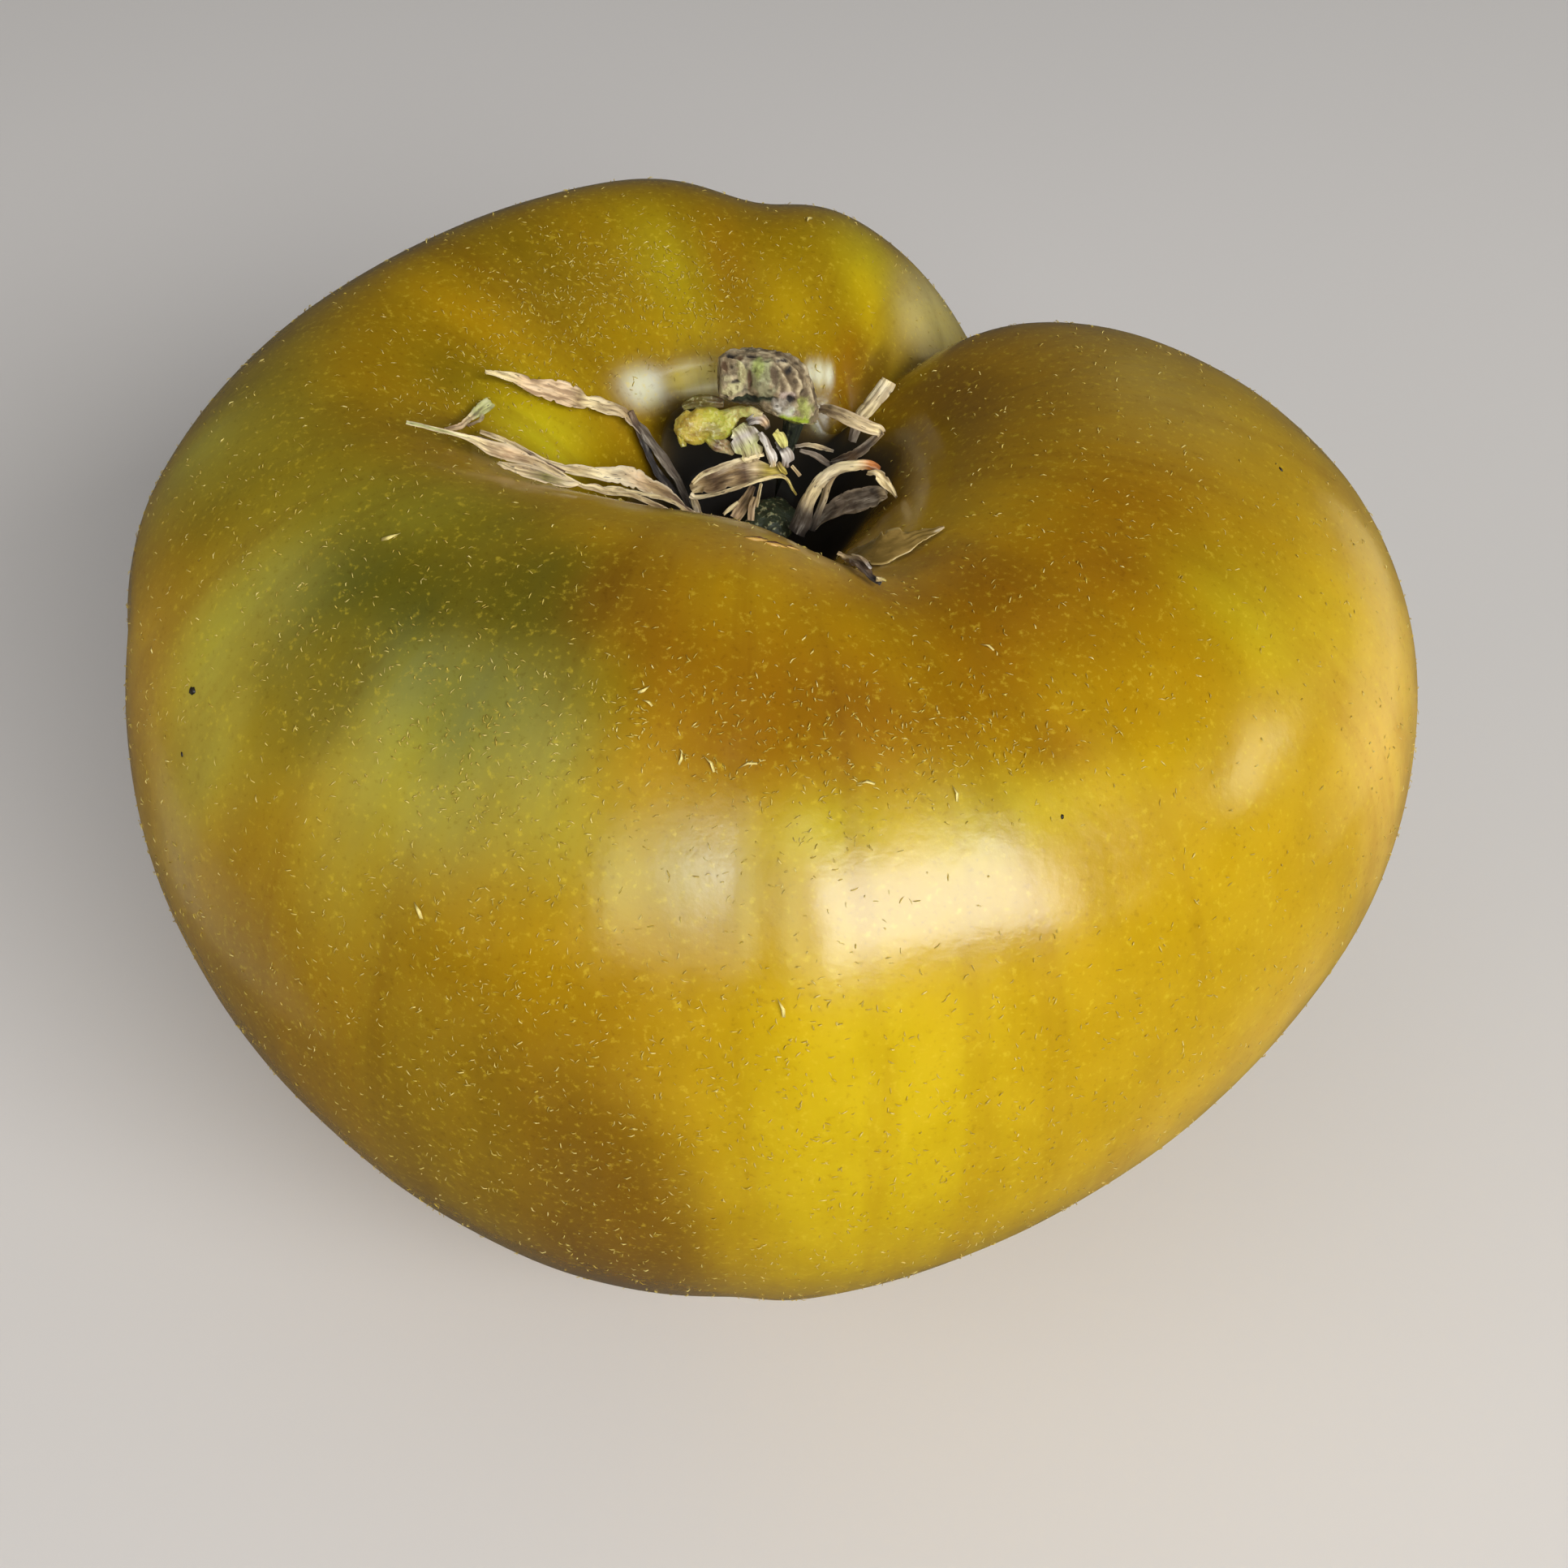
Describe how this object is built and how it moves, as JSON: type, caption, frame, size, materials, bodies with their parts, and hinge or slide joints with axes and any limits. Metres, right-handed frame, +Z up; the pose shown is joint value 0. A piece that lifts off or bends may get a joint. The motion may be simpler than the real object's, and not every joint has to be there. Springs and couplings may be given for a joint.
{
  "type": "tomato",
  "caption": "Large lobed heirloom beefsteak tomato, half ripe, with a deep stem cavity, a corky stem stub and dried curling sepals.",
  "frame": {"origin": "middle of the object's footprint, on the surface the fruit rests on", "axes": "+Z up, +X to the right along the fruit's widest way, +Y to the back, where the cleft between the lobes opens"},
  "size_m": [0.1062, 0.0992, 0.077],
  "materials": {
    "fruit_skin": "smooth waxy skin, green, gold and orange brown, with fine pale hairs",
    "cork": "rough dry cork, pale green where cut",
    "receptacle_tissue": "dull dark green dried tissue",
    "fleshy_tissue": "bumpy yellow green tissue, half dried",
    "tan_sepal": "dry, wrinkled, tan with dark veins",
    "cream_sepal": "dry, wrinkled, cream",
    "grey_sepal": "dry, wrinkled, grey brown",
    "petal_film": "thin translucent brown film"
  },
  "bodies": {
    "root": {"fruit": "fruit_skin", "stem": "cork", "receptacle": "receptacle_tissue", "receptacle_sheath": "grey_sepal", "receptacle_lobe": "fleshy_tissue", "sepal_upper_left": "tan_sepal", "sepal_lower_left": "tan_sepal", "sepal_lower_left_margin": "cream_sepal", "sepal_lower_left_under": "tan_sepal", "sepal_tip_cross": "tan_sepal", "sepal_front": "tan_sepal", "sepal_front_deep": "grey_sepal", "sepal_front_right": "cream_sepal", "sepal_right": "grey_sepal", "sepal_back_right": "cream_sepal", "sepal_back_right_folded": "tan_sepal", "sepal_inner": "grey_sepal", "petal_scrap": "petal_film", "sepal_crumb": "grey_sepal"}
  },
  "joints": []
}
